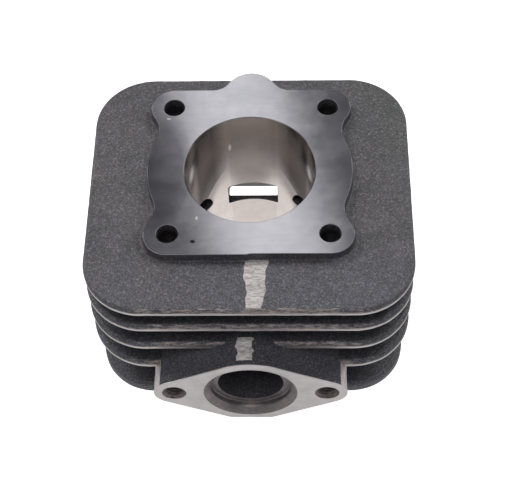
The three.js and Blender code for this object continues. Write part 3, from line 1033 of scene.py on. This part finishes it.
def makeBody():
    # wall whose reach from the axis is worked out by angle and height: the smooth larger of the
    # wall, the four columns and the rib, plus a round fillet under and over each fin, closed by
    # the bore
    b = body
    fillet = b["fillet"]
    angle = np.linspace(0, 2 * math.pi, b["around"], endpoint=False)
    edges = [plateTopZ]
    for low, high in finLevels[::-1]:
        edges += [low, high]
    edges = edges[:-1] + [deckFootZ]
    gaps = list(zip(edges[:-1:2], edges[1::2]))
    rise = fillet * (1 - np.cos(np.radians(np.linspace(0, 90, 7))))
    levels = []
    for start, end in gaps:
        between = np.linspace(start + fillet, end - fillet, 5)[1:-1]
        levels.append(np.concatenate([start + rise, between, end - rise[::-1]]))
    z = np.concatenate([[edges[0]]] + levels + [[edges[-1]]])
    z = np.unique(np.round(z, 4))
    flare = np.zeros(len(z))
    for start, end in gaps:
        near = np.minimum(np.abs(z - start), np.abs(z - end))
        inside = (z >= start - 1e-6) & (z <= end + 1e-6)
        drop = np.clip(fillet - near, 0, fillet)
        flare = np.where(inside, fillet - np.sqrt(fillet ** 2 - drop ** 2), flare)
    shelf = finLevels[2][0] + 1.0
    wall = np.where(z[:, None] < shelf, b["belt"], b["barrel"])
    reach = np.broadcast_to(wall, (len(z), b["around"])).copy()
    far = math.hypot(studs["offset"], studs["offset"])
    for turn in (45, 135, 225, 315):
        column = lobeReach(angle, far, math.radians(turn), b["column"], b["columnFall"])
        reach = roundedMost(reach, column[None, :], b["bridge"])
    rib = lobeReach(angle, b["ribCentre"], math.pi / 2, b["rib"], b["ribFall"])
    reach = roundedMost(reach, rib[None, :], b["bridge"])
    reach = reach + flare[:, None]
    rearLimit = (deckHigh[1] - axisY - b["rearSeam"]) / np.maximum(np.sin(angle), 0.5)
    reach = np.minimum(reach, rearLimit[None, :])
    grid = np.stack([
        reach * np.cos(angle), reach * np.sin(angle), np.broadcast_to(z[:, None], reach.shape)
    ], axis=-1)
    wave = sum(lumps(grid, size) * height for size, height in (b["coarse"], b["fine"]))
    wave[0] = wave[-1] = 0
    grid[..., :2] *= (1 + wave / reach)[..., None]
    r = bore["radius"]
    inside = np.stack([
        np.stack([r * np.cos(angle), r * np.sin(angle), np.full_like(angle, level)], axis=-1)
        for level in (deckFootZ, plateTopZ)
    ])
    piece = solidPiece("cylinder_body", [shell(np.concatenate([grid, inside]), closeRows=True)])
    carve(piece, studCutters + passageCutters + [duct])

    def choose(centre, facing):
        wall = np.abs(np.hypot(centre[:, 0], centre[:, 1]) - r) < 0.12
        wall &= np.abs(facing[:, 2]) < 0.4
        return np.where(wall, 1, 0)

    paint(piece, "ground", np.zeros(len(piece.data.vertices)))
    nodes = ["upper_barrel", "transfer_belt", "rear_rib"]
    corners = ("rear_right", "rear_left", "front_left", "front_right")
    nodes += ["stud_column_" + corner for corner in corners]
    return finishPiece(piece, nodes, [castSkin, honedBore], choose)


makeBody()


basePlate = {
    "inset": 1.2,           # smaller than the fins by this much all round
    "crown": 1.3,
    "foot": 0.5,            # radius of the lower edge
    "swell": 0.07,
    "spigotWall": 2.3,
    "spigotBreak": 0.5,     # chamfer at the spigot's end
}


def makeBasePlate():
    # the lowest plate: cast rim and top, ground base face, open to the bore. Its rim swells as a
    # fin's does
    p = basePlate
    outline = finOutline(p["inset"])
    inward = np.linspace(0, 1, 16)
    foot = p["foot"]
    rows = [(foot, b, baseZ) for b in inward[::-1]]
    rows += quarter(0.0, baseZ + foot, foot, -80, -5, 5)
    rows += [(0.0, 0, baseZ + 1.6)]
    rows += quarter(0.0, plateTopZ - p["crown"], p["crown"], 5, 90, 9)
    rows += [(p["crown"] + 0.3, b, plateTopZ) for b in inward]
    grid = plateGrid(outline, rows, bore["radius"])
    normal = outward(outline)
    wave = lumps(grid, 8.0) * 0.6 + lumps(grid, 2.9) * 0.4
    sides = slice(len(inward) + 1, len(rows) - len(inward))
    pull = p["swell"] * (1 + wave[sides])
    grid[sides, :, 0] -= normal[None, :, 0] * pull
    grid[sides, :, 1] -= normal[None, :, 1] * pull
    piece = solidPiece("base_plate", [shell(grid, closeRows=True)])
    carve(piece, studCutters + passageCutters)

    def choose(centre, facing):
        under = (facing[:, 2] < -0.9) & (centre[:, 2] < baseZ + 0.1)
        wall = np.abs(np.hypot(centre[:, 0], centre[:, 1]) - bore["radius"]) < 0.12
        return np.where(wall, 2, np.where(under, 1, 0))

    paint(piece, "ground", np.zeros(len(piece.data.vertices)))
    return finishPiece(piece, ["base_flange"], [castSkin, headFace, honedBore], choose)


def makeSpigot():
    # turned sleeve that goes down into the crankcase, chamfered inside and out at its end
    r = bore["radius"]
    w, c = basePlate["spigotWall"], basePlate["spigotBreak"]
    low = spigotLow[2]
    out = r + w
    profile = [(r, baseZ), (r, low + c), (r + c * 0.8, low), (out - c, low), (out, low + 1.6 * c),
               (out, baseZ - 1.4), (out - 0.3, baseZ - 1.2), (out - 0.3, baseZ - 0.2),
               (out - 0.2, baseZ)]
    piece = solidPiece("bore_spigot", [shell(tube(profile, bore["around"]), closeRows=True)])

    def choose(centre, facing):
        inner = np.abs(np.hypot(centre[:, 0], centre[:, 1]) - r) < 0.2
        return np.where(inner, 1, 0)

    return finishPiece(piece, ["spigot"], [flangeFace, honedBore], choose)


makeBasePlate()
makeSpigot()


def hullOutline(circles, steps=720):
    # outline round several circles: in each direction, the circle that reaches furthest that way
    a = np.linspace(0, 2 * math.pi, steps, endpoint=False)
    unit = np.stack([np.cos(a), np.sin(a)], axis=1)
    reach = np.stack([unit @ np.array([x, z]) + r for x, z, r in circles])
    chosen = reach.argmax(axis=0)
    c = np.array(circles)[chosen]
    return c[:, :2] + c[:, 2:] * unit


def makeBoss():
    # the flange's diamond carried straight back into the body, flat at the base face, with a
    # crisp milled front edge
    e = exhaust
    ear = e["earOffset"]
    outline = hullOutline([(0, 0, e["hub"]), (-ear, 0, e["ear"]), (ear, 0, e["ear"])])
    outline = evenly(outline, 420)
    normal = outward(outline)
    depth = np.concatenate([[0.0, 0.0, 0.25], np.linspace(0.8, e["bossEnd"], 40)])
    inset = np.zeros(len(depth))
    inset[:2] = 0.35, 0.06
    x = outline[:, 0] - normal[:, 0] * inset[:, None]
    z = outline[:, 1] - normal[:, 1] * inset[:, None]
    y = e["faceY"] + np.broadcast_to(depth[:, None], x.shape)
    grid = np.stack([x, y, z + e["centreZ"]], axis=-1)
    wave = lumps(grid, 6.5) * 0.12 + lumps(grid, 2.4) * 0.05
    wave = wave * np.clip(depth - 0.3, 0, 1)[:, None]
    grid[..., 0] -= normal[:, 0] * (wave + 0.1 * (wave != 0))
    grid[..., 2] -= normal[:, 1] * (wave + 0.1 * (wave != 0))
    # flat foot level with the base face, drawn up a little once it is inside the base plate
    sunk = np.clip(grid[..., 1] - fins["front"] - 2.0, 0, 1)
    grid[..., 2] = np.maximum(grid[..., 2], baseZ + sunk)
    piece = solidPiece("exhaust_boss", [shell(grid, capEnds=True)])
    carve(piece, [boreSpace, duct, mouth] + threads + passageCutters + studCutters)

    def choose(centre, facing):
        aside = np.abs(centre[:, 0])
        rise = centre[:, 2] - e["centreZ"]
        radial = np.hypot(aside, rise)
        tapped = np.hypot(aside - ear, rise) < e["countersink"] + 0.1
        tapped &= facing[:, 1] > -0.9
        turned = (radial < e["mouth"] + 0.3) & (centre[:, 1] < e["faceY"] + e["seatDepth"] + 0.1)
        front = (centre[:, 1] < e["faceY"] + 0.3) & (facing[:, 1] < -0.97)
        rim = (centre[:, 1] < e["faceY"] + 0.5) & (radial > e["mouth"] + 0.5)
        return np.where(tapped, 2, np.where(front | rim, 1, np.where(turned, 3, 0)))

    place = vertexPlaces(piece)
    ridge = (place[:, 2] > e["centreZ"] - 1.5) & (np.abs(place[:, 0]) > ear + e["ear"] * 0.66)
    paint(piece, "ground", ridge.astype(float))
    return finishPiece(piece, ["exhaust_duct", "exhaust_flange"],
                       [castSkin, flangeFace, threadMetal, seatMetal], choose)


makeBoss()


# where the casting flash was ground off along the mould's parting line: x of the left and the
# right edge at the near and the far end, y of the two ends, and how far it stands proud
lands = {
    "top": ((-1.5, -0.3), (5.9, 4.3), -31.6, -48.2, 0.16),
    "boss": ((-4.0, -3.6), (1.2, 1.9), -47.5, -55.2, 0.16),
}


def makeLand(name, leftEdge, rightEdge, nearY, farY, proud, heightAt, metal):
    # thin raised land: for each place along it, a section with a ragged upright left edge and a
    # top that runs out into the casting on the right. Two sines make each edge ragged, and
    # heightAt gives the surface below
    along = np.linspace(0, 1, 60)
    across = np.concatenate([[0.0], np.linspace(0.015, 1, 26)])
    y = (nearY + (farY - nearY) * along)[:, None]
    rag = 0.30 * np.sin(along * 11 + 1.0) + 0.12 * np.sin(along * 29 + 0.4)
    ragRight = 0.32 * np.sin(along * 9 + 2.0) + 0.14 * np.sin(along * 23)
    left = (leftEdge[0] + (leftEdge[1] - leftEdge[0]) * along + rag)[:, None]
    right = (rightEdge[0] + (rightEdge[1] - rightEdge[0]) * along + ragRight)[:, None]
    x = left + (right - left) * across
    lift = proud * np.where(across < 0.01, 0.55, 1.0) * np.clip((1 - across) * 5, 0, 1) ** 0.6
    ground = np.stack([x, np.broadcast_to(y, x.shape), heightAt(x, y) + lift], axis=-1)
    ground[..., 2] += 0.035 * lumps(ground, 1.7)
    ground[:, -1, 2] -= 0.2
    base = ground[:, ::-1].copy()
    base[..., 2] = heightAt(base[..., 0], y) - 0.5
    piece = solidPiece(name, [shell(np.concatenate([ground, base], axis=1), capEnds=True)])
    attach(piece, "root")
    piece.data.materials.append(metal)
    piece.data.shade_smooth()
    piece.data.set_sharp_from_angle(angle=math.radians(40))
    print(name, len(piece.data.polygons), "faces")
    return piece


def finTopAt(x, y):
    # the top fin is level
    return np.full(np.broadcast(x, y).shape, finLevels[0][1] - fins["swell"])


def bossTopAt(x, y):
    # height of a circle lying across the boss, a little sunk
    return exhaust["centreZ"] + np.sqrt(exhaust["hub"] ** 2 - x ** 2) - 0.15 + 0 * y


makeLand("parting_land_top", *lands["top"], finTopAt, groundTop)
makeLand("parting_land_boss", *lands["boss"], bossTopAt, groundBoss)

for leftover in studCutters + passageCutters + [duct, mouth, boreSpace] + threads:
    bpy.data.objects.remove(leftover)
print("casting finished")


studio = {
    "floorSize": 6.0,
    "floorTone": (0.42, 0.42, 0.43, 1),     # what the floor gives back to the casting
    "floorGlow": 0.46,
    "floorExtra": 0.50,     # more of it for the camera, which sees a plain white table
    "sky": (0.92, 0.94, 1.0, 1),
    "skyStrength": 0.12,
    "horizonStrength": 0.50,
    "horizonTop": 30,       # elevations between which the walls fade into the ceiling
    "skyBottom": 46,
    # azimuth from the exhaust side, elevation, distance, width, height, power and turn
    "lamps": {
        "windowBehind": (182.5, 54, 2.0, 0.19, 1.0, 0.71, 13),
        "backLeft": (-128, 42, 1.2, 0.6, 0.5, 8.5, 0),
        "backRight": (128, 42, 1.2, 0.6, 0.5, 8.0, 0),
        "highFront": (-14, 74, 1.2, 0.6, 0.6, 5.6, 0),
    },
    "lampAim": 0.04,        # height above the table that the lamps face, in metres
}


def mixForCamera(tree, others, camera, target):
    # one shader for the rays that light the casting, another for those that reach the camera
    path = addNode(tree, "ShaderNodeLightPath")
    both = tree.nodes.new("ShaderNodeMixShader")
    tree.links.new(path.outputs["Is Camera Ray"], both.inputs[0])
    tree.links.new(others.outputs[0], both.inputs[1])
    tree.links.new(camera.outputs[0], both.inputs[2])
    tree.links.new(both.outputs[0], tree.nodes[target].inputs["Surface"])


def makeFloor():
    # pale table: a square, dimmer for the casting than for the camera
    h = studio["floorSize"] / 2
    z = -0.0002
    mesh = bpy.data.meshes.new("floor")
    mesh.from_pydata([(-h, -h, z), (h, -h, z), (h, h, z), (-h, h, z)], [], [(0, 1, 2, 3)])
    floor = bpy.data.objects.new("floor", mesh)
    bpy.context.collection.objects.link(floor)
    material = bpy.data.materials.new("white_table")
    material.use_nodes = True
    tree = material.node_tree
    shader = tree.nodes["Principled BSDF"]
    shader.inputs["Base Color"].default_value = studio["floorTone"]
    shader.inputs["Roughness"].default_value = 0.9
    shader.inputs["Emission Color"].default_value = (1, 1, 1, 1)
    shader.inputs["Emission Strength"].default_value = studio["floorGlow"]
    glow = addNode(tree, "ShaderNodeEmission", Color=(1, 1, 1, 1), Strength=studio["floorExtra"])
    lit = tree.nodes.new("ShaderNodeAddShader")
    tree.links.new(shader.outputs[0], lit.inputs[0])
    tree.links.new(glow.outputs[0], lit.inputs[1])
    mixForCamera(tree, shader, lit, "Material Output")
    mesh.materials.append(material)


def makeWorld():
    # pale walls low down and a dim ceiling, by the sine of the elevation, and white for the camera
    world = bpy.data.worlds.new("studio")
    bpy.context.scene.world = world
    world.use_nodes = True
    tree = world.node_tree
    room = tree.nodes["Background"]
    room.inputs["Color"].default_value = studio["sky"]
    direction = addNode(tree, "ShaderNodeTexCoord").outputs["Generated"]
    up = addNode(tree, "ShaderNodeSeparateXYZ", Vector=direction).outputs[2]
    low, high = (math.sin(math.radians(studio[key])) for key in ("horizonTop", "skyBottom"))
    level = stretch(tree, up, low, high, studio["horizonStrength"], studio["skyStrength"])
    tree.links.new(level, room.inputs["Strength"])
    white = addNode(tree, "ShaderNodeBackground", Color=(1, 1, 1, 1), Strength=1.0)
    mixForCamera(tree, room, white, "World Output")


def towards(azimuth, elevation):
    # unit vector from the casting: (sin a cos e, -cos a cos e, sin e)
    a, e = math.radians(azimuth), math.radians(elevation)
    return np.array([math.sin(a) * math.cos(e), -math.cos(a) * math.cos(e), math.sin(e)])


def aimed(azimuth, elevation, turn, spot):
    # pose at a spot that looks back at the casting from that direction, turned about its own line
    # of sight: level right and up axes, each mixed with the other by the turn's cosine and sine
    a, t = math.radians(azimuth), math.radians(turn)
    away = towards(azimuth, elevation)
    side = np.array([math.cos(a), math.sin(a), 0])
    up = np.cross(away, side)
    right = math.cos(t) * side + math.sin(t) * up
    top = -math.sin(t) * side + math.cos(t) * up
    pose = Matrix.Identity(4)
    for row in range(3):
        pose[row] = (right[row], top[row], away[row], spot[row])
    return pose


def softBox(name, azimuth, elevation, distance, width, height, power, turn):
    # rectangular lamp on a sphere round the casting, facing it
    lamp = bpy.data.lights.new(name, "AREA")
    lamp.shape = "RECTANGLE"
    lamp.size = width
    lamp.size_y = height
    lamp.energy = power
    holder = bpy.data.objects.new(name, lamp)
    bpy.context.collection.objects.link(holder)
    spot = np.array([0, axisY * mm, studio["lampAim"]]) + towards(azimuth, elevation) * distance
    holder.matrix_world = aimed(azimuth, elevation, turn, spot)
    holder.visible_camera = False


tableGlow = {
    "tone": (1, 0.985, 0.97, 1),
    "radius": 13.5,
    "cutOff": -4.0,         # how far in front of the bore axis the bright patch ends
    "rearStrength": 1.35,
    "rearZ": -0.06,
    "frontStrength": 0.50,
    "frontZ": -0.12,
}


def makeTableGlow():
    # lit table seen up through the bore: a bright round patch, cut off towards the front, and a
    # dimmer strip before it
    g = tableGlow
    edge = math.degrees(math.asin((g["cutOff"] - 1.0) / g["radius"]))
    disc = arc(0, 1.0, g["radius"], edge, 180 - edge, 90)
    half = np.array([(10.0, -16.0), (13.0, -6.0), (13.0, -3.0)])
    strip = mirrored(half)
    for name, rim, z, strength in (
        ("table_glow_front", strip, g["frontZ"], g["frontStrength"]),
        ("table_glow_rear", disc, g["rearZ"], g["rearStrength"]),
    ):
        mesh = bpy.data.meshes.new(name)
        corners = [(x * mm, (y + axisY) * mm, z * mm) for x, y in rim.tolist()]
        mesh.from_pydata(corners, [], [list(range(len(corners)))])
        material = bpy.data.materials.new(name)
        material.use_nodes = True
        tree = material.node_tree
        lit = addNode(tree, "ShaderNodeEmission", Color=g["tone"], Strength=strength)
        white = addNode(tree, "ShaderNodeEmission", Color=(1, 1, 1, 1), Strength=1.0)
        mixForCamera(tree, lit, white, "Material Output")
        mesh.materials.append(material)
        patch = bpy.data.objects.new(name, mesh)
        bpy.context.collection.objects.link(patch)


# where the picture is taken from. The spot is in millimetres from the bore axis and the head face
view = {
    "azimuth": 2.468,
    "elevation": 55.588,
    "roll": -2.266,
    "spot": (12.94, -248.34, 324.20),
    "lens": 92.94,
    "sensor": 36.0,
}


def makeCamera():
    data = bpy.data.cameras.new("camera")
    data.lens = view["lens"]
    data.sensor_width = view["sensor"]
    data.clip_start = 0.01
    data.clip_end = 20.0
    camera = bpy.data.objects.new("camera", data)
    bpy.context.collection.objects.link(camera)
    spot = (np.array(view["spot"]) + [0, axisY, headZ]) * mm
    camera.matrix_world = aimed(view["azimuth"], view["elevation"], view["roll"], spot)
    bpy.context.scene.camera = camera


makeFloor()
makeWorld()
for lampName, values in studio["lamps"].items():
    softBox(lampName, *values)
makeTableGlow()
makeCamera()
bpy.context.scene.view_settings.view_transform = "Standard"
print("floor, lamps and camera placed")
